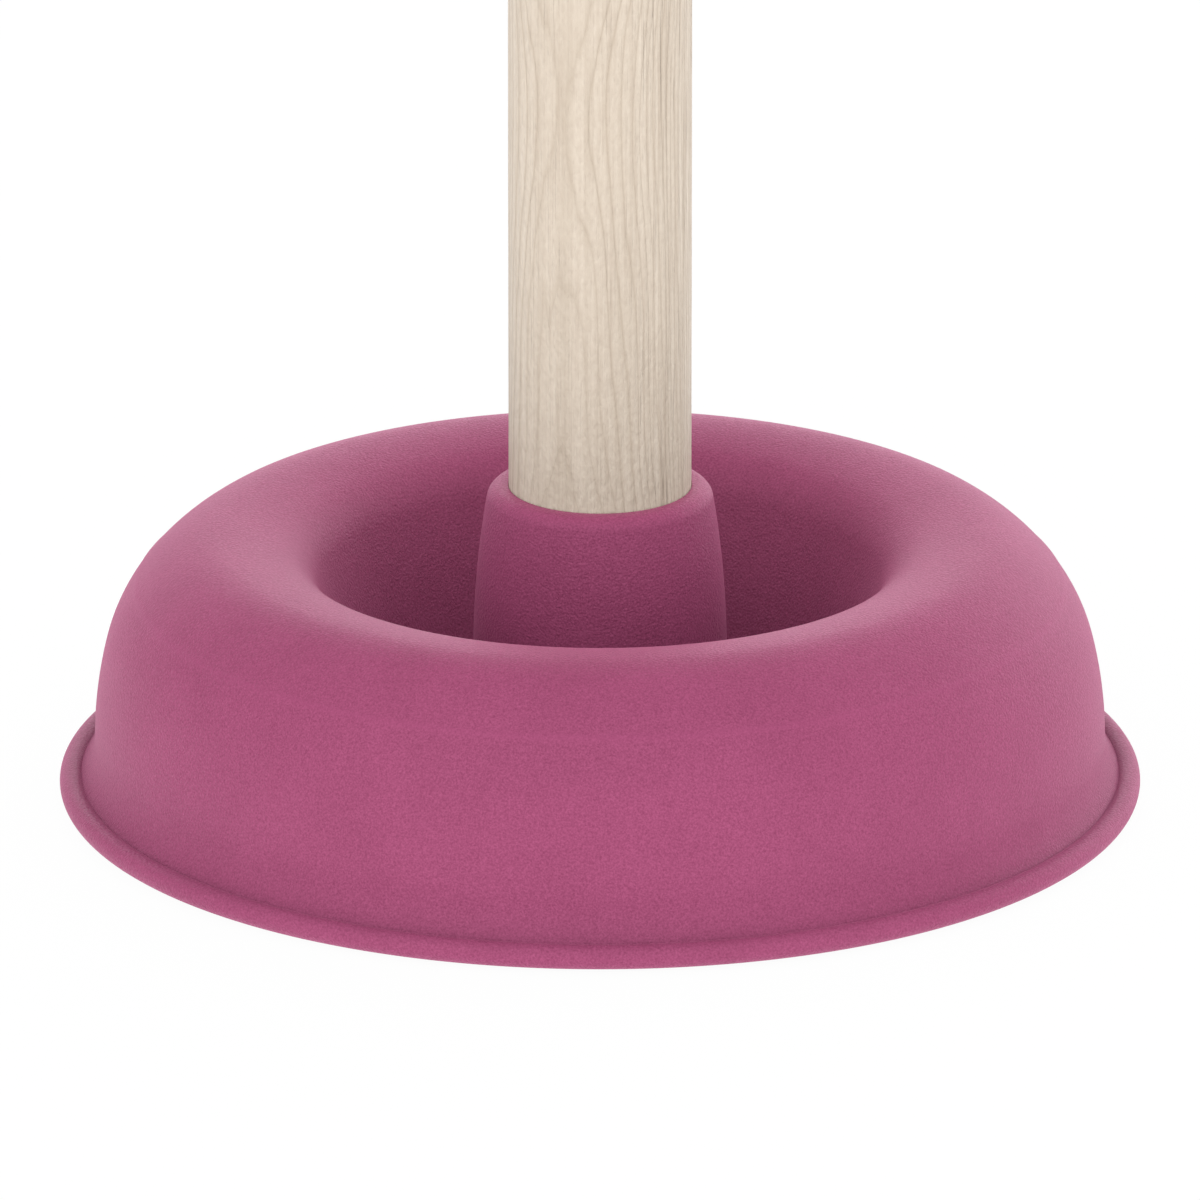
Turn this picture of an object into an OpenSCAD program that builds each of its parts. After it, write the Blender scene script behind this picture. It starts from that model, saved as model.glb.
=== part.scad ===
// Toilet plunger: a rubber force cup on a wooden stick.
// The lip stands on z = 0 and every piece is turned about the z axis. Millimetres.

/* [Cup] */
// Outside diameter of the beaded lip
lip_d = 140; // [138:0.5:144]
// Thickness of the round bead that runs along the lip
bead_d = 3.2; // [3:0.1:3.6]
// Outside radius of the upright wall, above its flared foot
wall_r = 65.4; // [65:0.1:65.8]
// Height where the flared foot runs into the upright wall
foot_top_z = 7.3; // [7:0.1:8]
// Radius of the hollow flare between the bead and the wall
foot_flare_r = 6.8; // [6:0.1:8]
// Thickness of the rubber in the wall, the dome and the well
rubber_t = 3.5; // [2.5:0.1:4]
// Height of the well's floor above the lip
well_floor_z = 8; // [7.5:0.5:9]
// Radius of the hollow between the well's wall and its floor
well_fillet_r = 6; // [4:0.5:6]

/* [Socket] */
// Outside radius of the socket where it rises from the well
socket_r = 16.4; // [16:0.1:18]
// Height of the top of the socket
socket_top_z = 41.5; // [41:0.5:46]
// Radius of the hollow round the socket's root
socket_root_r = 3; // [2:0.5:3]
// Height of the seat inside the socket, which the stick stands on
seat_z = 16; // [16:0.5:20]
// Thickness of the rubber between the seat and the washer
seat_t = 3.3; // [3:0.1:3.5]

/* [Handle] */
// Diameter of the wooden stick
handle_d = 23.6; // [22:0.1:24]
// Height of the top of the stick above the lip
handle_top_z = 450; // [350:10:600]
// Radius of the rounding at the top of the stick
handle_end_r = 9; // [4:0.5:10]
// Chamfer round the foot of the stick
handle_chamfer = 1.5; // [0.5:0.5:2]

/* [Fixing] */
// Diameter of the washer
washer_d = 20; // [16:1:20]
// Thickness of the washer
washer_t = 1.5; // [1:0.1:1.5]
// Diameter of the screw over its thread
screw_d = 5; // [4.5:0.1:5]
// Diameter of the screw's core, and of the pilot hole in the stick
screw_core_d = 3.4; // [3:0.1:3.6]
// Diameter of the screw's head
screw_head_d = 10; // [9:0.5:11]
// Height of the screw's head
screw_head_h = 2.2; // [2:0.1:2.2]
// Length of the screw below its head
screw_length = 35; // [30:1:45]
// Pitch of the screw's thread
thread_pitch = 2.2; // [2:0.1:2.6]

/* [Hidden] */
$fn = 96;

// Headings along an outline, in degrees
OUTWARD = 0;
UP = 90;
INWARD = 180;
DOWN = 270;
// Largest turn between two stations of an arc
ARC_STEP = 6;

// The dome's outside, from the foot over the crest to the well's edge: [radius, heading at its end]
DOME_ARCS = [[51, 104], [22.5, 148], [9.8, INWARD], [22, 199], [8.5, 250]];
// The socket's side leans in as it rises, then rounds over to its top
socket_curve_r = 130;
socket_lean = 9.5;
socket_edge_r = 2;
mouth_edge_r = 0.4;

bead_r = bead_d / 2;
bead_centre_r = lip_d / 2 - bead_r;
lip_chamfer = 0.8;
socket_taper_z = socket_top_z - socket_curve_r * sin(socket_lean) - socket_edge_r * (1 - sin(socket_lean));
bore_gap = 0.05;
bore_r = handle_d / 2 + bore_gap;
washer_z = seat_z - seat_t;
recess_r = washer_d / 2 + 0.5;
screw_hole_r = screw_d / 2 + 0.2;
head_z = washer_z - washer_t;
pilot_depth = screw_length - washer_t - seat_t + 3;
slot_w = 1;
slot_depth = 1.3;
slot_length = 0.55 * screw_head_d;

// A station of an outline is [radius, height, heading]
function last(list) = list[len(list) - 1];

// The stations of an arc of radius r from station s, as it turns to heading to
function turn(s, r, to) =
    let (side = sign(to - s[2]), count = ceil(abs(to - s[2]) / ARC_STEP))
    [for (i = [1 : count])
        let (a = s[2] + (to - s[2]) * i / count)
        [s[0] + side * r * (sin(a) - sin(s[2])), s[1] - side * r * (cos(a) - cos(s[2])), a]];

// The stations of a chain of arcs that starts at station s
function chain(s, arcs, i = 0) =
    i == len(arcs) ? [] :
    let (arc = turn(s, arcs[i][0], arcs[i][1]))
    concat(arc, chain(last(arc), arcs, i + 1));

// The same stations moved to the left of their headings
function beside(stations, distance) =
    [for (s = stations) [s[0] - distance * sin(s[2]), s[1] + distance * cos(s[2]), s[2]]];

function reversed(list) = [for (i = [len(list) - 1 : -1 : 0]) list[i]];

function points(stations) = [for (s = stations) [s[0], s[1]]];

// The bead's circle and the flare's circle cross where the wall's foot meets the bead
function bead_crossing() =
    let (
        dx = wall_r + foot_flare_r - bead_centre_r,
        dz = foot_top_z - bead_r,
        d = norm([dx, dz]))
    atan2(dz, dx) + acos((bead_r * bead_r + d * d - foot_flare_r * foot_flare_r) / (2 * bead_r * d));

function bead() =
    let (start = [bead_centre_r, 0, OUTWARD])
    concat([start], turn(start, bead_r, bead_crossing() + 90));

function flare() =
    let (
        foot = last(bead()),
        centre = [wall_r + foot_flare_r, foot_top_z],
        heading = 90 + asin((centre[1] - foot[1]) / foot_flare_r))
    turn([foot[0], foot[1], heading], foot_flare_r, UP);

function dome() = chain([wall_r, foot_top_z, UP], DOME_ARCS);

// The well's wall keeps the heading of its edge until the fillet turns it into the floor
function well_fillet() =
    let (
        edge = last(dome()),
        z = well_floor_z + well_fillet_r * (1 + cos(edge[2])),
        r = edge[0] + (z - edge[1]) / tan(edge[2]),
        start = [r, z, edge[2]])
    concat([start], turn(start, well_fillet_r, INWARD));

function socket_root() =
    let (start = [socket_r + socket_root_r, well_floor_z, INWARD])
    concat([start], turn(start, socket_root_r, UP));

function socket_side() =
    let (start = [socket_r, socket_taper_z, UP])
    concat([start], chain(start, [[socket_curve_r, UP + socket_lean], [socket_edge_r, INWARD]]));

function socket_mouth() =
    let (start = [bore_r + mouth_edge_r, socket_top_z, INWARD])
    concat([start], turn(start, mouth_edge_r, DOWN));

// Lip, foot, dome, well and socket on the outside; seat, washer recess and hollow chamber inside
module cup() {
    skin = concat(dome(), well_fillet());
    outside = concat(bead(), flare(), skin, socket_root(), socket_side(), socket_mouth());
    seat = [
        [bore_r, seat_z],
        [screw_hole_r, seat_z],
        [screw_hole_r, washer_z],
        [recess_r, washer_z],
        [recess_r, well_floor_z - rubber_t]];
    chamber = points(reversed(beside(skin, rubber_t)));
    lip_inside = [
        [wall_r - rubber_t, foot_top_z],
        [wall_r - rubber_t, lip_chamfer],
        [wall_r - rubber_t + lip_chamfer, 0]];
    color([0.68, 0.33, 0.47])
        rotate_extrude()
            polygon(concat(points(outside), seat, chamber, lip_inside));
}

// A straight stick with a rounded top, a chamfered foot and a pilot hole for the screw
module handle() {
    r = handle_d / 2;
    pilot_r = screw_core_d / 2;
    shoulder = [r, handle_top_z - handle_end_r, UP];
    top = concat([shoulder], turn(shoulder, handle_end_r, INWARD));
    hole = [
        [0, seat_z + pilot_depth + pilot_r],
        [pilot_r, seat_z + pilot_depth],
        [pilot_r, seat_z]];
    foot = [
        [r - handle_chamfer, seat_z],
        [r, seat_z + handle_chamfer]];
    color([0.88, 0.83, 0.76])
        rotate_extrude()
            polygon(concat(foot, points(top), [[0, handle_top_z]], hole));
}

// A flat ring between the screw's head and the rubber
module washer() {
    color([0.75, 0.76, 0.78])
        translate([0, 0, head_z])
            difference() {
                cylinder(d = washer_d, h = washer_t);
                translate([0, 0, -1])
                    cylinder(r = screw_hole_r, h = washer_t + 2);
            }
}

// The outline of the screw's threaded stretch: one ridge for each turn of the thread
function thread_ridges(from_z, count) = [
    for (i = [0 : count - 1], p = [[0, 0], [0.3, 1], [0.45, 1], [0.75, 0]])
        [screw_core_d / 2 + p[1] * (screw_d - screw_core_d) / 2, from_z + (i + p[0]) * thread_pitch]];

// A pan-head wood screw that points up, with its cross slots underneath
module screw() {
    tip_length = 5;
    plain_length = washer_t + seat_t + 1;
    thread_z = head_z + plain_length + 1;
    ridge_count = floor((screw_length - plain_length - 1 - tip_length) / thread_pitch);
    head_low = head_z - screw_head_h;
    head_edge = turn([screw_head_d / 2 - 1.5, head_low, OUTWARD], 1.5, UP);
    outline = concat(
        [[0, head_low], [screw_head_d / 2 - 1.5, head_low]],
        points(head_edge),
        [[screw_head_d / 2, head_z], [screw_d / 2, head_z], [screw_d / 2, head_z + plain_length]],
        thread_ridges(thread_z, ridge_count),
        [[screw_core_d / 2, head_z + screw_length - tip_length], [0, head_z + screw_length]]);
    color([0.8, 0.8, 0.82])
        difference() {
            rotate_extrude()
                polygon(outline);
            for (angle = [0, 90])
                rotate([0, 0, angle])
                    translate([-slot_length / 2, -slot_w / 2, head_low - 1])
                        cube([slot_length, slot_w, slot_depth + 1]);
        }
}

cup();
handle();
washer();
screw();
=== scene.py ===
"""Looks of a toilet plunger: a soft rubber cup on a turned wooden stick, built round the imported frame.

Outlines are in millimetres, as in the CAD. Every mesh is written in metres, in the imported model's frame.
"""

import math

import bmesh
import bpy
import numpy as np
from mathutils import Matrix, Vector


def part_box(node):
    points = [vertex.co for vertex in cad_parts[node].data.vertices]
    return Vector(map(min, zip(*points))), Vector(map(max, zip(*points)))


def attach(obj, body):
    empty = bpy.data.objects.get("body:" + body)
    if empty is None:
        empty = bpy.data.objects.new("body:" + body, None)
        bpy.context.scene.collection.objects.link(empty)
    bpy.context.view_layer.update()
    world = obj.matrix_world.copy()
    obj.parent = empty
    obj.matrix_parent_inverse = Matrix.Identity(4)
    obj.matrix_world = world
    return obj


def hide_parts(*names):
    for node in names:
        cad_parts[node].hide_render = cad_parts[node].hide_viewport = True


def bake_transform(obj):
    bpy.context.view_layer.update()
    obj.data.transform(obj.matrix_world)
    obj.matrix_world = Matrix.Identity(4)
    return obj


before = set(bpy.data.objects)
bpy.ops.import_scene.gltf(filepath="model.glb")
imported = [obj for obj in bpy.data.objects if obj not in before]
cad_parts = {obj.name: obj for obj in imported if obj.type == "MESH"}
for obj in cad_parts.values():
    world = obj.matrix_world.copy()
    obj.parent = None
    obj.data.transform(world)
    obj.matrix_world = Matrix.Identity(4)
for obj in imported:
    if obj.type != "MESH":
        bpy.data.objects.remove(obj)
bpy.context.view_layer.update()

MM = 0.001

# ---- Sizes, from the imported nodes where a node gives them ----
cup_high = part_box("cup")[1]
handle_low, handle_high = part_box("handle")
washer_low, washer_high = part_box("washer")
screw_low, screw_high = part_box("screw")

LIP_R = cup_high.x / MM
SOCKET_TOP = cup_high.z / MM
HANDLE_R = handle_high.x / MM
HANDLE_FOOT = handle_low.z / MM
HANDLE_TOP = handle_high.z / MM
WASHER_R = washer_high.x / MM
WASHER_LOW, WASHER_TOP = washer_low.z / MM, washer_high.z / MM
HEAD_R = screw_high.x / MM
HEAD_LOW, SCREW_TIP = screw_low.z / MM, screw_high.z / MM

BEAD_R = 1.6
BEAD_CENTRE_R = LIP_R - BEAD_R
WALL_R = 65.4
FOOT_TOP = 7.3
FLARE_R = 6.8
RUBBER_T = 3.5
WELL_FLOOR = 8.0
WELL_FILLET_R = 6.0
# The dome's outside, from the foot over the crest to the well's edge: radius, heading at its end
DOME_ARCS = [(51, 104), (22.5, 148), (9.8, 180), (22, 199), (8.5, 250)]
SOCKET_R = 16.4
SOCKET_ROOT_R = 3.0
SOCKET_CURVE_R = 130.0
SOCKET_LEAN = 9.5
SOCKET_EDGE_R = 2.0
MOUTH_EDGE_R = 0.1
BORE_R = HANDLE_R + 0.02
HANDLE_END_R = 9.0
HANDLE_CHAMFER = 1.5
PILOT_DEPTH = 33.2
SCREW_R = 2.5
SCREW_HOLE_R = SCREW_R + 0.2
SCREW_CORE_R = 1.7
HEAD_EDGE_R = 1.5
RECESS_R = WASHER_R + 0.5
HUB_LOW = WELL_FLOOR - RUBBER_T

OUTWARD, UP, INWARD, DOWN = 0, 90, 180, 270
ARC_STEP = 3.0


# ---- Outlines: a station is (radius, height, heading in degrees) ----
def sine(angle):
    return math.sin(math.radians(angle))


def cosine(angle):
    return math.cos(math.radians(angle))


def turn(start, radius, heading, step=ARC_STEP):
    """Stations along an arc that leaves start and turns to heading, start itself left out."""
    r0, z0, a0 = start
    side = 1 if heading > a0 else -1
    count = max(1, math.ceil(abs(heading - a0) / step))
    stations = []
    for i in range(1, count + 1):
        a = a0 + (heading - a0) * i / count
        stations.append(
            (r0 + side * radius * (sine(a) - sine(a0)), z0 - side * radius * (cosine(a) - cosine(a0)), a)
        )
    return stations


def chain(start, arcs, step):
    """Stations along arcs that follow one another, each given by its radius and last heading."""
    stations = []
    for radius, heading in arcs:
        stations += turn(stations[-1] if stations else start, radius, heading, step)
    return stations


def line(start, end, spacing):
    """Evenly spaced points from start to end, both left out."""
    count = max(1, round(math.dist(start[:2], end[:2]) / spacing))
    return [
        (start[0] + (end[0] - start[0]) * i / count, start[1] + (end[1] - start[1]) * i / count)
        for i in range(1, count)
    ]


def beside(stations, distance):
    """The stations moved to the left of their headings."""
    return [(r - distance * sine(a), z + distance * cosine(a), a) for r, z, a in stations]


def rounded(corner, before, after, radius, step=12):
    """Points of an arc that rounds off the corner between two straight stretches."""
    c, p, q = (Vector(v[:2]) for v in (corner, before, after))
    to_p, to_q = (p - c).normalized(), (q - c).normalized()
    half = to_p.angle(to_q) / 2
    reach = radius / math.tan(half)
    centre = c + (to_p + to_q).normalized() * (radius / math.sin(half))
    first, last = c + to_p * reach - centre, c + to_q * reach - centre
    sweep = first.angle_signed(last)
    count = max(2, math.ceil(abs(math.degrees(sweep)) / step))
    points = []
    for i in range(count + 1):
        a = -sweep * i / count
        points.append(
            (
                centre.x + first.x * math.cos(a) - first.y * math.sin(a),
                centre.y + first.x * math.sin(a) + first.y * math.cos(a),
            )
        )
    return points


# ---- Meshes ----
def lathe(name, outline, segments, closed):
    """A mesh turned about z from points in millimetres. An open outline starts and ends on the axis."""

    def around(radius, height):
        angles = [2 * math.pi * k / segments for k in range(segments)]
        return [(radius * math.cos(a) * MM, radius * math.sin(a) * MM, height * MM) for a in angles]

    rows = [around(*point) if point[0] > 1e-4 else [(0.0, 0.0, point[1] * MM)] for point in outline]
    return mesh_object(name, *skinned(rows, closed))


def skinned(rows, closed=False):
    """Vertices and faces that join rows of points; a row of one point is a pole."""
    vertices, rings = [], []
    for row in rows:
        rings.append(range(len(vertices), len(vertices) + len(row)))
        vertices += row
    pairs = list(zip(rings, rings[1:]))
    if closed:
        pairs.append((rings[-1], rings[0]))
    faces = []
    for a, b in pairs:
        segments = max(len(a), len(b))
        for k in range(segments):
            m = (k + 1) % segments
            if len(a) == 1:
                faces.append((a[0], b[m], b[k]))
            elif len(b) == 1:
                faces.append((a[k], a[m], b[0]))
            else:
                faces.append((a[k], a[m], b[m], b[k]))
    return vertices, faces


def mesh_object(name, vertices, faces):
    mesh = bpy.data.meshes.new(name)
    mesh.from_pydata(vertices, [], faces)
    work = bmesh.new()
    work.from_mesh(mesh)
    bmesh.ops.recalc_face_normals(work, faces=work.faces)
    work.to_mesh(mesh)
    work.free()
    mesh.shade_smooth()
    made = bpy.data.objects.new(name, mesh)
    bpy.context.scene.collection.objects.link(made)
    return made


def coordinates(mesh):
    place = np.zeros(len(mesh.vertices) * 3, np.float32)
    mesh.vertices.foreach_get("co", place)
    return place.reshape(-1, 3)


def store(mesh, name, kind, key, values):
    mesh.attributes.new(name, kind, "POINT").data.foreach_set(key, np.asarray(values, np.float32).ravel())


def soften_edges(made, angle=35):
    """Keeps edges sharper than angle crisp in the shading."""
    made.data.set_sharp_from_angle(angle=math.radians(angle))


# ---- Node helpers ----
def add(tree, kind, inputs=None, **settings):
    made = tree.nodes.new("ShaderNode" + kind)
    for key, value in settings.items():
        setattr(made, key, value)
    for key, value in (inputs or {}).items():
        if isinstance(value, bpy.types.NodeSocket):
            tree.links.new(value, made.inputs[key])
        else:
            made.inputs[key].default_value = value
    return made


def math_node(tree, operation, *values):
    return add(tree, "Math", dict(enumerate(values)), operation=operation).outputs[0]


def noise(tree, place, scale, detail=2.0, roughness=0.5, distortion=0.0):
    inputs = {
        "Vector": place, "Scale": scale, "Detail": detail, "Roughness": roughness, "Distortion": distortion
    }
    return add(tree, "TexNoise", inputs).outputs["Fac"]


def remap(tree, value, span, onto):
    """Maps the span's two ends onto another two, and holds the value between them."""
    inputs = {0: value, 1: span[0], 2: span[1], 3: onto[0], 4: onto[1]}
    return add(tree, "MapRange", inputs, clamp=True).outputs[0]


def ramp(tree, value, stops):
    made = add(tree, "ValToRGB", {0: value})
    elements = made.color_ramp.elements
    while len(elements) < len(stops):
        elements.new(0.5)
    for element, (position, colour) in zip(elements, stops):
        element.position = position
        element.color = (*colour, 1.0)
    return made.outputs[0]


def mix(tree, factor, a, b, blend_type="MIX"):
    """Mixes two colours; a Mix node keeps its colour inputs at 6 and 7 and its colour output at 2."""
    made = add(tree, "Mix", {0: factor}, data_type="RGBA", blend_type=blend_type)
    for index, value in ((6, a), (7, b)):
        if isinstance(value, bpy.types.NodeSocket):
            tree.links.new(value, made.inputs[index])
        else:
            made.inputs[index].default_value = (*value, 1.0)
    return made.outputs[2]


def new_material(name):
    material = bpy.data.materials.new(name)
    material.use_nodes = True
    tree = material.node_tree
    tree.nodes.clear()
    return material, tree


def principled(tree, inputs):
    shader = add(tree, "BsdfPrincipled", inputs)
    out = add(tree, "OutputMaterial")
    tree.links.new(shader.outputs[0], out.inputs[0])
    return shader


# ---- Rubber cup ----
CUP_SEGMENTS = 240
# The mould's joint line: the heading where it lies on the shoulder, its height and half its width
SEAM_HEADING = 127.5
SEAM_HEIGHT = 0.10
SEAM_HALF_WIDTH = 0.55
# The unseen underside takes one in so many of the dome's stations
UNDERSIDE_STRIDE = 4
# Points that only divide the long straight stretches inside the cup
BORE_HEIGHTS = (34, 28, 22, 17.5)
LIP_HEIGHTS = (4.5, 2.5)
SEAT_MIDDLE_R = 7
# Small roundings: the screw's hole, the recess's root and rim, and the lip's inner edge
HOLE_EDGE_R = 0.3
RECESS_ROOT_R = 0.5
RECESS_EDGE_R = 0.6
LIP_EDGE_R = 0.8


def seam_share(heading):
    """How much of the mould's joint line shows at a heading on the dome's shoulder."""
    shoulder_r = DOME_ARCS[1][0]
    distance = math.radians(heading - SEAM_HEADING) * shoulder_r
    return math.exp(-((distance / SEAM_HALF_WIDTH) ** 2))


def bead_and_flare():
    """The round bead on the lip, and the hollow flare that runs from it into the upright wall."""
    start = (BEAD_CENTRE_R, 0.0, OUTWARD)
    dx, dz = WALL_R + FLARE_R - BEAD_CENTRE_R, FOOT_TOP - BEAD_R
    gap = math.hypot(dx, dz)
    crossing = math.degrees(
        math.atan2(dz, dx) + math.acos((BEAD_R**2 + gap**2 - FLARE_R**2) / (2 * BEAD_R * gap))
    )
    bead = [start] + turn(start, BEAD_R, crossing + 90, step=8)
    foot_r, foot_z, _ = bead[-1]
    flare_heading = 90 + math.degrees(math.asin((FOOT_TOP - foot_z) / FLARE_R))
    return bead + turn((foot_r, foot_z, flare_heading), FLARE_R, UP)


def dome_and_well():
    """The skin that gives: over the dome, straight down the well's side and round into its floor."""
    dome = chain((WALL_R, FOOT_TOP, UP), DOME_ARCS, step=1.0)
    edge_r, edge_z, slope = dome[-1]
    fillet_z = WELL_FLOOR + WELL_FILLET_R * (1 + cosine(slope))
    side_length = (fillet_z - edge_z) / sine(slope)
    fillet_start = (edge_r + side_length * cosine(slope), fillet_z, slope)
    side = [(*p, slope) for p in line((edge_r, edge_z), fillet_start, spacing=1.0)]
    return dome + side + [fillet_start] + turn(fillet_start, WELL_FILLET_R, INWARD, step=6)


def travel_shares(skin):
    """Each station's share of the stick's travel, which eases from 0 to 1 along the skin's own length."""
    steps = [math.dist(a[:2], b[:2]) for a, b in zip([(WALL_R, FOOT_TOP)] + skin, skin)]
    along = np.cumsum(steps) / sum(steps)
    return [float(t * t * (3 - 2 * t)) for t in along]


def socket_outside():
    """Up from the well's floor, with a slight lean inward, and over the edge into the mouth."""
    root = (SOCKET_R + SOCKET_ROOT_R, WELL_FLOOR, INWARD)
    lean_z = SOCKET_TOP - SOCKET_CURVE_R * sine(SOCKET_LEAN) - SOCKET_EDGE_R * (1 - sine(SOCKET_LEAN))
    lean_start = (SOCKET_R, lean_z, UP)
    side = turn(lean_start, SOCKET_CURVE_R, UP + SOCKET_LEAN, step=0.5)
    edge = turn(side[-1], SOCKET_EDGE_R, INWARD, step=8)
    mouth = (BORE_R + MOUTH_EDGE_R, SOCKET_TOP, INWARD)
    rise = [root] + turn(root, SOCKET_ROOT_R, UP, step=6) + [lean_start] + side + edge
    return rise + [mouth] + turn(mouth, MOUTH_EDGE_R, DOWN, step=15)


def socket_inside():
    """Down the bore to the stick's seat, through the screw's hole and out of the washer's recess."""
    seat_middle, hole_top = (SEAT_MIDDLE_R, HANDLE_FOOT), (SCREW_HOLE_R, HANDLE_FOOT)
    hole_low = (SCREW_HOLE_R, WASHER_TOP)
    recess_top, recess_low = (RECESS_R, WASHER_TOP), (RECESS_R, HUB_LOW)
    bore = [(BORE_R, z) for z in (*BORE_HEIGHTS, HANDLE_FOOT)]
    hole = rounded(hole_top, seat_middle, hole_low, HOLE_EDGE_R, step=30)
    hole += rounded(hole_low, hole_top, recess_top, HOLE_EDGE_R, step=30)
    recess = rounded(recess_top, (SEAT_MIDDLE_R, WASHER_TOP), recess_low, RECESS_ROOT_R, step=20)
    recess += line(recess_top, recess_low, spacing=1.5)
    recess += rounded(recess_low, recess_top, (WALL_R, HUB_LOW), RECESS_EDGE_R, step=15)
    return bore + [seat_middle] + hole + recess


def lip_inside():
    """Down the wall's inner face, and out along the flat that the cup stands on."""
    inner_r = WALL_R - RUBBER_T
    lip = [(inner_r, z) for z in (FOOT_TOP, *LIP_HEIGHTS)]
    lip += rounded((inner_r, 0), (inner_r, FOOT_TOP), (LIP_R, 0), LIP_EDGE_R, step=15)
    return lip + line(lip[-1], (BEAD_CENTRE_R, 0.0), spacing=1.5)


def cup_outline():
    """The cup's closed outline, and each point's share of the stick's travel and of the mould's line, which
    raises its ridge and carries its painted highlight.
    """
    foot, skin, lip = bead_and_flare(), dome_and_well(), lip_inside()
    socket = socket_outside() + socket_inside()
    shares = travel_shares(skin)
    kept = [*range(0, len(skin) - 1, UNDERSIDE_STRIDE), len(skin) - 1]
    chamber = list(reversed(beside([skin[i] for i in kept], RUBBER_T)))
    chamber_shares = [shares[i] for i in reversed(kept)]

    seam_and_highlight = [seam_share(heading) for _, _, heading in skin]
    raised = [
        (r + SEAM_HEIGHT * share * sine(a), z - SEAM_HEIGHT * share * cosine(a))
        for (r, z, a), share in zip(skin, seam_and_highlight)
    ]
    outline = foot + raised + socket + chamber + lip
    weights = [0.0] * len(foot) + shares + [1.0] * len(socket) + chamber_shares + [0.0] * len(lip)
    seams_and_highlight = [0.0] * len(foot) + seam_and_highlight + [0.0] * len(socket + chamber + lip)
    return [p[:2] for p in outline], weights, seams_and_highlight


RUBBER_DARK, RUBBER_LIGHT = (0.314, 0.050, 0.136), (0.500, 0.102, 0.236)
# Faint clouds multiply the rubber's colour
CLOUD_DARK, CLOUD_LIGHT = (0.97, 0.96, 0.965), (1.03, 1.04, 1.035)
# The mould's raised joint line is real; its lighter colour is a painted highlight along the ridge
SEAM_HIGHLIGHT_COLOUR = (0.46, 0.085, 0.215)
# Painted shade: on bounced light the rubber turns nearly black, so that its hollows and the well stay dark
BOUNCE_SHADE_COLOUR = (0.06, 0.03, 0.04)


def rubber_material():
    """Matt rubber with a fine grain; its pattern follows the cup's shape at rest."""
    material, tree = new_material("rubber_cup")
    rest = add(tree, "Attribute", attribute_name="rest_place").outputs["Vector"]
    place = add(tree, "VectorMath", {0: rest, "Scale": 1 / MM}, operation="SCALE").outputs[0]

    mottle = noise(tree, place, scale=0.09, detail=3.0, roughness=0.55)
    speckle = noise(tree, place, scale=3.9, detail=3.0, roughness=0.7)
    cells = {"Vector": place, "Scale": 3.2, "Smoothness": 0.7}
    grains = add(tree, "TexVoronoi", cells, feature="SMOOTH_F1").outputs["Distance"]
    leather = noise(tree, place, scale=2.7, detail=3.0, roughness=0.6, distortion=0.35)

    grain = remap(tree, speckle, (0.32, 0.68), (0, 1))
    colour = mix(tree, grain, RUBBER_DARK, RUBBER_LIGHT)
    clouds = mix(tree, remap(tree, mottle, (0.35, 0.65), (0, 1)), CLOUD_DARK, CLOUD_LIGHT)
    colour = mix(tree, 1.0, colour, clouds, "MULTIPLY")
    # Painted highlight: the rubber turns lighter along the mould's joint line
    seam_and_highlight = add(tree, "Attribute", attribute_name="seam_and_highlight").outputs["Fac"]
    colour = mix(tree, math_node(tree, "MULTIPLY", seam_and_highlight, 0.35), colour, SEAM_HIGHLIGHT_COLOUR)
    # Painted shade: the rubber's colour on bounced light, which darkens the well and its hollows
    bounced = add(tree, "LightPath").outputs["Is Diffuse Ray"]
    colour = mix(tree, bounced, colour, BOUNCE_SHADE_COLOUR)

    height = math_node(tree, "ADD", grains, math_node(tree, "MULTIPLY", leather, 0.9))
    bump = add(tree, "Bump", {"Strength": 0.60, "Distance": 0.13 * MM, "Height": height})
    principled(
        tree,
        {
            "Base Color": colour,
            "Roughness": remap(tree, speckle, (0.3, 0.7), (0.58, 0.46)),
            "IOR": 1.39,
            "Specular Tint": (1.0, 0.75, 0.86, 1.0),
            "Sheen Weight": 0.40,
            "Sheen Roughness": 0.40,
            "Sheen Tint": (1.0, 0.33, 0.57, 1.0),
            "Normal": bump.outputs[0],
        },
    )
    return material


outline, weights, seams_and_highlight = cup_outline()
cup = lathe("rubber_cup", outline, CUP_SEGMENTS, True)
soften_edges(cup)
# The mould's line, stored for its painted highlight
store(cup.data, "seam_and_highlight", "FLOAT", "value", np.repeat(seams_and_highlight, CUP_SEGMENTS))
store(cup.data, "rest_place", "FLOAT_VECTOR", "vector", coordinates(cup.data))
cup.data.materials.append(rubber_material())
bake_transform(cup)
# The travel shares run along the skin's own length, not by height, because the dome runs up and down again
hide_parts("cup")


# ---- Wooden stick ----
HANDLE_SEGMENTS = 240
RING_WIDTH = 0.78
# The tree's pith lies this far to the right of the stick's axis and behind it
PITH = (24.0, 56.0)
# How far the skin is sanded back everywhere, and how much further along a ring's dark edge
SANDED, GRAIN_DEPTH = 0.012, 0.045
# The relief starts a little way inside the socket, where its start is hidden
GRAIN_START = SOCKET_TOP - 4
FOOT_EDGE_R, CHAMFER_EDGE_R = 0.4, 0.6
WOOD_PALE, WOOD_TAN = (0.95, 0.825, 0.685), (0.620, 0.502, 0.382)
STREAK_COLOUR = (0.800, 0.680, 0.550)
FIBRE_COLOUR = (0.640, 0.515, 0.402)
FLECK_COLOUR = (0.45, 0.345, 0.255)
GRIT_COLOUR = (0.66, 0.535, 0.42)


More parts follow.
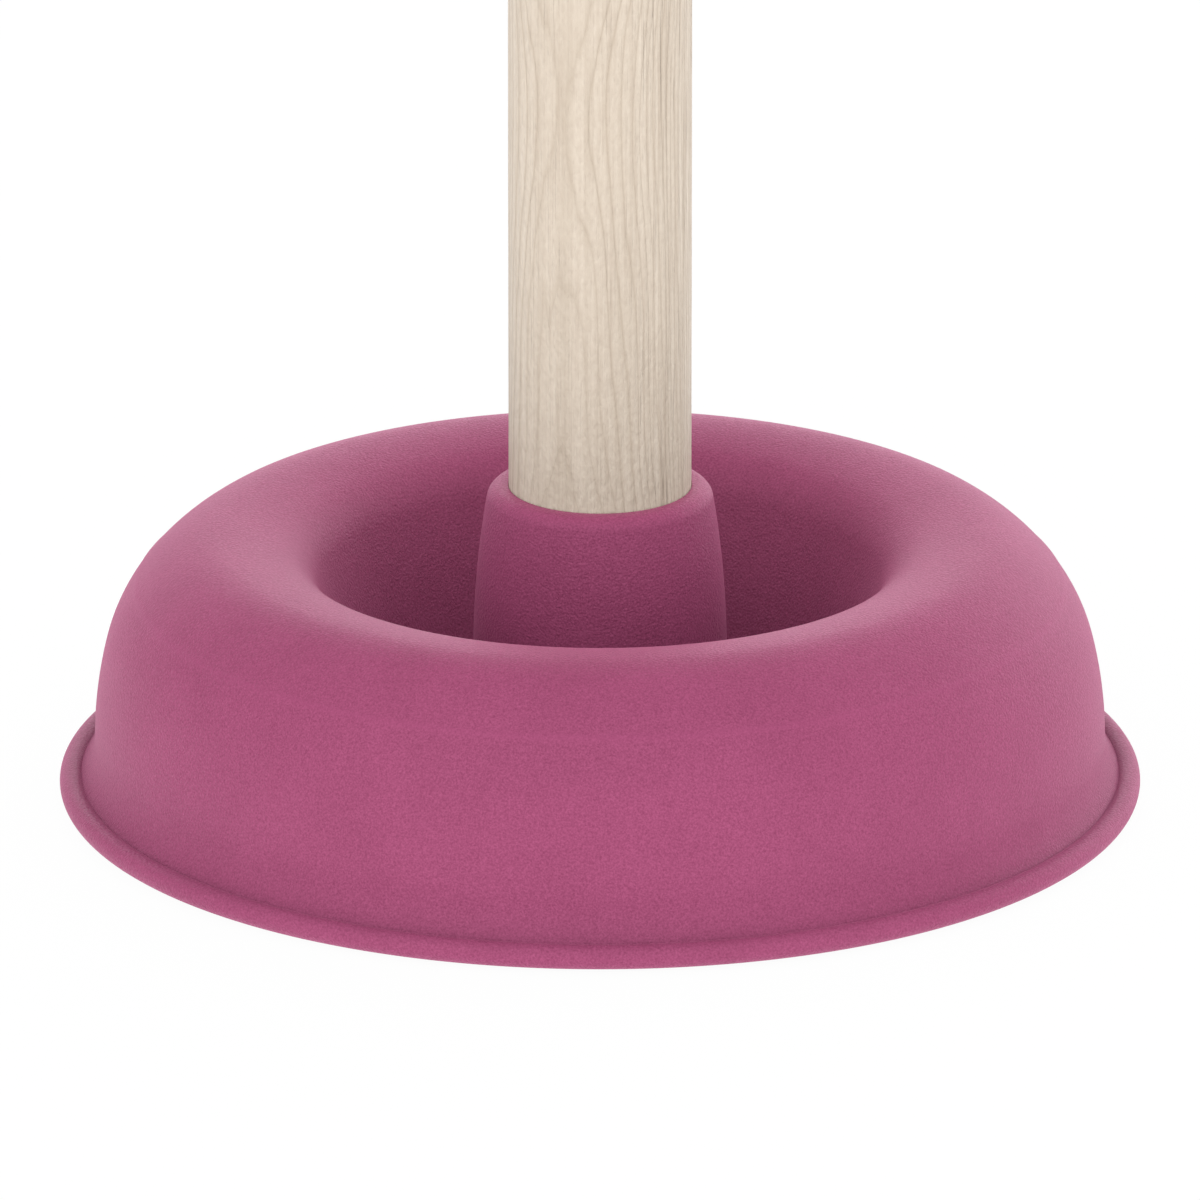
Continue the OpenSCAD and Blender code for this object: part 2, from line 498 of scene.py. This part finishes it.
def growth(place):
    """Ring number at each point in millimetres: its distance from a wandering pith over the ring's width."""
    x, y, z = place.T
    pith_x = PITH[0] + 1.6 * np.sin(z / 41 + 0.4) + 0.25 * np.sin(z / 11.3 + 2.0)
    pith_y = PITH[1] + 2.6 * np.sin(z / 29 + 1.9) + 0.35 * np.sin(z / 9.1)
    reach = np.hypot(x - pith_x, y - pith_y)
    sway = 0.16 * np.sin(reach * 1.9 + z / 17) + 0.10 * np.sin(x * 0.9 - z / 7.3)
    return (reach + sway) / RING_WIDTH


def stretched(tree, place, upward):
    """Coordinates in millimetres across the stick, and scaled by upward along it."""
    return add(tree, "Mapping", {"Vector": place, "Scale": (1 / MM, 1 / MM, upward)}).outputs[0]


def wood_material():
    """Pale wood: growth rings, long streaks, dark fibres in bands, short flecks and a rough nap."""
    material, tree = new_material("pale_ash_wood")
    place = add(tree, "TexCoord").outputs["Object"]
    fibre_place = stretched(tree, place, 13)
    long_place = stretched(tree, place, 7)
    fibres = noise(tree, fibre_place, scale=2.4, detail=3.0, roughness=0.6)
    pores = noise(tree, fibre_place, scale=4.6, detail=2.0, roughness=0.5)
    grit = noise(tree, stretched(tree, place, 420), scale=1.9, detail=2.0, roughness=0.5)
    streaks = noise(tree, long_place, scale=0.75, detail=3.0, roughness=0.6)
    wander = noise(tree, fibre_place, scale=0.8, detail=2.0, roughness=0.5)

    ring = add(tree, "Attribute", attribute_name="growth").outputs["Fac"]
    ring = math_node(tree, "ADD", ring, math_node(tree, "MULTIPLY", wander, 0.5))
    share = math_node(tree, "FRACT", ring)
    ring_tones = [(0.0, 0.85), (0.10, 0.35), (0.45, 0.0), (0.85, 0.15), (1.0, 0.85)]
    late = ramp(tree, share, [(position, (tone,) * 3) for position, tone in ring_tones])
    ring_number = add(tree, "CombineXYZ", {0: math_node(tree, "FLOOR", ring)}).outputs[0]
    strength = noise(tree, ring_number, scale=3.7, detail=0.0)
    late = math_node(tree, "MULTIPLY", late, remap(tree, strength, (0.3, 0.7), (0.25, 1.0)))

    colour = mix(tree, remap(tree, streaks, (0.3, 0.7), (0.0, 0.8)), WOOD_PALE, STREAK_COLOUR)
    colour = mix(tree, math_node(tree, "MULTIPLY", late, 0.95), colour, WOOD_TAN)
    bands = remap(tree, noise(tree, long_place, scale=0.13, detail=1.0), (0.42, 0.58), (0.35, 1.0))
    dark_fibres = math_node(tree, "MULTIPLY", remap(tree, fibres, (0.45, 0.72), (0.0, 0.80)), bands)
    colour = mix(tree, dark_fibres, colour, FIBRE_COLOUR)
    flecks = math_node(tree, "MULTIPLY", remap(tree, pores, (0.62, 0.74), (0.0, 0.6)), bands)
    colour = mix(tree, flecks, colour, FLECK_COLOUR)
    colour = mix(tree, remap(tree, grit, (0.35, 0.75), (0.0, 0.35)), colour, GRIT_COLOUR)

    height = math_node(tree, "SUBTRACT", fibres, math_node(tree, "MULTIPLY", flecks, 0.8))
    height = math_node(tree, "SUBTRACT", height, math_node(tree, "MULTIPLY", late, 0.5))
    height = math_node(tree, "ADD", height, math_node(tree, "MULTIPLY", grit, 1.4))
    bump = add(tree, "Bump", {"Strength": 1.0, "Distance": 0.16 * MM, "Height": height})
    principled(
        tree,
        {
            "Base Color": colour,
            "Roughness": remap(tree, fibres, (0.3, 0.7), (0.36, 0.55)),
            "IOR": 1.5,
            "Normal": bump.outputs[0],
        },
    )
    return material


def handle_outline():
    """The stick's outline from the pilot hole's end, down and round the foot, and up to the top."""
    shoulder = (HANDLE_R, HANDLE_TOP - HANDLE_END_R, UP)
    chamfer_low = (HANDLE_R - HANDLE_CHAMFER, HANDLE_FOOT)
    chamfer_top = (HANDLE_R, HANDLE_FOOT + HANDLE_CHAMFER)
    foot = rounded(chamfer_low, (0, HANDLE_FOOT), chamfer_top, FOOT_EDGE_R, step=20)
    foot += rounded(chamfer_top, foot[0], (HANDLE_R, HANDLE_TOP), CHAMFER_EDGE_R, step=20)
    hole_top = HANDLE_FOOT + PILOT_DEPTH
    hole = [(0.0, hole_top + SCREW_CORE_R), (SCREW_CORE_R, hole_top)]
    hole += line(hole[-1], (SCREW_CORE_R, HANDLE_FOOT), spacing=4.0) + [(SCREW_CORE_R, HANDLE_FOOT)]
    flat = line(hole[-1], foot[0], spacing=2.0)
    shank = line(foot[-1], shoulder, spacing=1.6)
    crown = [shoulder] + turn(shoulder, HANDLE_END_R, INWARD, step=5)
    crown += line(crown[-1], (0, HANDLE_TOP), spacing=0.9) + [(0.0, HANDLE_TOP)]
    return [p[:2] for p in hole + flat + foot + shank + crown]


def sunk_grain(place, rings):
    """The stick's points in millimetres, with its bare skin sunk along the growth rings."""
    radius = np.hypot(place[:, 0], place[:, 1])
    height = place[:, 2]
    outside = radius > HANDLE_R - 0.01
    bare = outside & (height > GRAIN_START) & (height < HANDLE_TOP - HANDLE_END_R)
    groove = 0.5 + 0.5 * np.cos(2 * np.pi * rings)
    sink = np.where(bare, SANDED + GRAIN_DEPTH * groove**3, 0.0)
    scale = 1 - sink / np.maximum(radius, 1e-6)
    return place * np.stack([scale, scale, np.ones_like(scale)], axis=1)


handle = lathe("wooden_handle", handle_outline(), HANDLE_SEGMENTS, False)
handle_points = coordinates(handle.data) / MM
rings = growth(handle_points)
sunk = sunk_grain(handle_points, rings) * MM
handle.data.vertices.foreach_set("co", sunk.astype(np.float32).ravel())
soften_edges(handle)
store(handle.data, "growth", "FLOAT", "value", rings)
handle.data.materials.append(wood_material())
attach(handle, "stick")
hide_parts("handle")


# ---- Washer and screw ----
def metal_material(name, colour, roughness, coordinate_scale):
    """Bright plated steel, faintly brushed and dulled in patches."""
    material, tree = new_material(name)
    place = add(tree, "TexCoord").outputs["Object"]
    spots = noise(tree, place, scale=900.0, detail=3.0, roughness=0.6)
    brushed_place = add(tree, "Mapping", {"Vector": place, "Scale": coordinate_scale}).outputs[0]
    brushed = noise(tree, brushed_place, scale=1.0, detail=3.0, roughness=0.6)
    tint = mix(tree, remap(tree, spots, (0.35, 0.7), (0.0, 0.6)), colour, tuple(c * 0.78 for c in colour))
    bump = add(tree, "Bump", {"Strength": 0.2, "Distance": 0.03 * MM, "Height": brushed})
    principled(
        tree,
        {
            "Base Color": tint,
            "Metallic": 1.0,
            "Roughness": remap(tree, brushed, (0.3, 0.7), (roughness, roughness + 0.16)),
            "Normal": bump.outputs[0],
        },
    )
    return material


def washer_outline():
    """A square-cut ring with stamped edges, rounder outside than in the hole."""
    outer_edge, hole_edge = 0.35, 0.15
    low, top, hole_r = WASHER_LOW, WASHER_TOP, SCREW_HOLE_R
    points = []
    corners = [(hole_r, low), (WASHER_R, low), (WASHER_R, top), (hole_r, top)]
    for i, corner in enumerate(corners):
        edge = outer_edge if corner[0] > hole_r else hole_edge
        points += rounded(corner, corners[i - 1], corners[(i + 1) % 4], edge, step=18)
    return points


WASHER_SEGMENTS = 128
ZINC, PLATED_STEEL = (0.62, 0.63, 0.65), (0.66, 0.64, 0.58)

washer = lathe("flat_washer", washer_outline(), WASHER_SEGMENTS, True)
soften_edges(washer, 50)
washer.data.materials.append(metal_material("zinc_plated_washer", ZINC, 0.32, (3000, 3000, 200)))
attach(washer, "stick")
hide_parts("washer")


SCREW_SEGMENTS = 72
THREAD_ROWS = 190
THREAD_PITCH = 2.2
TIP_LENGTH = 5.0
NECK_IN_WOOD = 1.0
HEAD_RIM_R = 0.15
# Half the width of a ridge's foot, as a share of the pitch, and how much its crest is flattened
RIDGE_HALF_WIDTH = 0.22
RIDGE_FLATTENING = 1.25


def screw_mesh():
    """Pan head, plain neck and a real helical thread that runs out on the tip."""
    head_top = WASHER_LOW
    plain_top = HANDLE_FOOT + NECK_IN_WOOD
    head_edge = (HEAD_R - HEAD_EDGE_R, HEAD_LOW, OUTWARD)
    head = [(0.0, HEAD_LOW), (HEAD_R * 0.35, HEAD_LOW), head_edge[:2]]
    head += [p[:2] for p in turn(head_edge, HEAD_EDGE_R, UP, step=10)]
    head += rounded((HEAD_R, head_top), (HEAD_R, HEAD_LOW), (0, head_top), HEAD_RIM_R, step=30)
    head += [(SCREW_R, head_top), (SCREW_R, head_top + 2), (SCREW_R, plain_top)]
    angles = [2 * math.pi * k / SCREW_SEGMENTS for k in range(SCREW_SEGMENTS)]

    def row(radii, height):
        return [(r * math.cos(a) * MM, r * math.sin(a) * MM, height * MM) for r, a in zip(radii, angles)]

    rows = [
        row([radius] * SCREW_SEGMENTS, height) if radius else [(0, 0, height * MM)]
        for radius, height in head
    ]
    thread_depth = SCREW_R - SCREW_CORE_R
    for i in range(1, THREAD_ROWS):
        height = plain_top + (SCREW_TIP - plain_top) * i / THREAD_ROWS
        run_in = min(1.0, (height - plain_top) / THREAD_PITCH)
        to_tip = (SCREW_TIP - height) / TIP_LENGTH
        core = SCREW_CORE_R * to_tip if to_tip < 1 else SCREW_R - thread_depth * run_in
        depth = thread_depth * min(1.0, to_tip * 1.2) * run_in
        radii = []
        for k in range(SCREW_SEGMENTS):
            phase = (height / THREAD_PITCH - k / SCREW_SEGMENTS) % 1.0
            ridge = max(0.0, 1 - abs(phase - 0.5) / RIDGE_HALF_WIDTH)
            radii.append(min(SCREW_R, core + depth * min(1.0, ridge * RIDGE_FLATTENING)))
        rows.append(row(radii, height))
    rows.append([(0, 0, SCREW_TIP * MM)])
    return mesh_object("wood_screw", *skinned(rows))


def cross_cutter():
    """A cross that narrows from below the head to the end of the driver's recess inside it."""
    levels = [(HEAD_LOW - 0.6, 3.1125, 0.6075), (HEAD_LOW + 1.3, 1.3, 0.32)]
    vertices = []
    for height, arm, half in levels:
        corner = [(arm, -half), (arm, half), (half, half)]
        for quarter in range(4):
            c, s = round(cosine(90 * quarter)), round(sine(90 * quarter))
            vertices += [((x * c - y * s) * MM, (x * s + y * c) * MM, height * MM) for x, y in corner]
    count = len(vertices) // 2
    sides = [(k, (k + 1) % count, count + (k + 1) % count, count + k) for k in range(count)]
    ends = [tuple(reversed(range(count))), tuple(range(count, 2 * count))]
    return mesh_object("cross_cutter", vertices, sides + ends)


def carve(target, cutter):
    """Takes the cutter's volume out of the target's mesh and removes the cutter."""
    modifier = target.modifiers.new("recess", "BOOLEAN")
    modifier.operation, modifier.solver, modifier.object = "DIFFERENCE", "EXACT", cutter
    bpy.context.view_layer.update()
    evaluated = target.evaluated_get(bpy.context.evaluated_depsgraph_get())
    carved = bpy.data.meshes.new_from_object(evaluated)
    target.modifiers.clear()
    target.data = carved
    bpy.data.objects.remove(cutter)


screw = screw_mesh()
carve(screw, cross_cutter())
soften_edges(screw, 30)
screw.data.materials.clear()
screw.data.materials.append(metal_material("plated_screw_steel", PLATED_STEEL, 0.28, (400, 400, 3000)))
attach(screw, "stick")
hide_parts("screw")


# ---- Floor, light and camera ----
ROOM_LEVEL = 0.50
LOW_FOCUS, HIGH_FOCUS = 12.0, 8.0
# Where the room glows: azimuth in degrees from the back towards the right, height, focus, strength
GLOWS = [
    (0, 8, LOW_FOCUS, 1.75),
    (45, 8, LOW_FOCUS, 1.85),
    (90, 8, LOW_FOCUS, 0.20),
    (135, 8, LOW_FOCUS, 0.36),
    (225, 8, LOW_FOCUS, 0.54),
    (270, 8, LOW_FOCUS, 0.30),
    (0, 38, HIGH_FOCUS, 0.30),
    (45, 38, HIGH_FOCUS, 0.25),
    (135, 38, HIGH_FOCUS, 0.31),
    (180, 38, HIGH_FOCUS, 0.72),
    (225, 38, HIGH_FOCUS, 0.54),
]


# In metres and degrees; the frame's width is what the picture spans at the aim
CAMERA_ELEVATION = 19.013
CAMERA_DISTANCE = 2.5
AIM = Vector((0, 0, 0.025677))
FRAME_WIDTH = 0.15506


def stage_floor():
    """A wide floor just under the lip, which glows nearly white and so takes hardly any shadow."""
    mesh = bpy.data.meshes.new("floor")
    reach, low = 40.0, -0.4 * MM
    corners = [(-reach, -reach, low), (reach, -reach, low), (reach, reach, low), (-reach, reach, low)]
    mesh.from_pydata(corners, [], [(0, 1, 2, 3)])
    floor = bpy.data.objects.new("floor", mesh)
    bpy.context.scene.collection.objects.link(floor)
    material, tree = new_material("pale_floor")
    principled(
        tree,
        {
            "Base Color": (0.05, 0.05, 0.05, 1.0),
            "Roughness": 0.9,
            "Specular IOR Level": 0.0,
            "Emission Color": (1.0, 1.0, 1.0, 1.0),
            "Emission Strength": 0.96,
        },
    )
    mesh.materials.append(material)


def white_room():
    """An even white room with broad, soft glows at two heights round its walls."""
    world = bpy.data.worlds.new("white_room")
    world.use_nodes = True
    tree = world.node_tree
    direction = add(tree, "TexCoord").outputs["Generated"]
    level = ROOM_LEVEL
    for azimuth, height, focus, strength in GLOWS:
        towards = (sine(azimuth) * cosine(height), cosine(azimuth) * cosine(height), sine(height))
        dot = add(tree, "VectorMath", {0: direction, 1: towards}, operation="DOT_PRODUCT")
        facing = math_node(tree, "MAXIMUM", dot.outputs["Value"], 0.0)
        lobe = math_node(tree, "POWER", facing, focus)
        level = math_node(tree, "ADD", level, math_node(tree, "MULTIPLY", lobe, strength))
    tree.links.new(level, tree.nodes["Background"].inputs["Strength"])
    tree.nodes["Background"].inputs["Color"].default_value = (1.0, 1.0, 1.0, 1.0)
    bpy.context.scene.world = world


def add_camera():
    """Looks down at the cup from the front."""
    data = bpy.data.cameras.new("camera")
    data.sensor_width = 36
    data.lens = data.sensor_width * CAMERA_DISTANCE / FRAME_WIDTH
    data.clip_start, data.clip_end = 0.1, 100
    camera = bpy.data.objects.new("camera", data)
    back = Vector((0, -cosine(CAMERA_ELEVATION), sine(CAMERA_ELEVATION)))
    camera.location = AIM + back * CAMERA_DISTANCE
    camera.rotation_euler = (-back).to_track_quat("-Z", "Y").to_euler()
    bpy.context.scene.collection.objects.link(camera)
    bpy.context.scene.camera = camera


stage_floor()
white_room()
add_camera()
bpy.context.scene.view_settings.view_transform = "Standard"
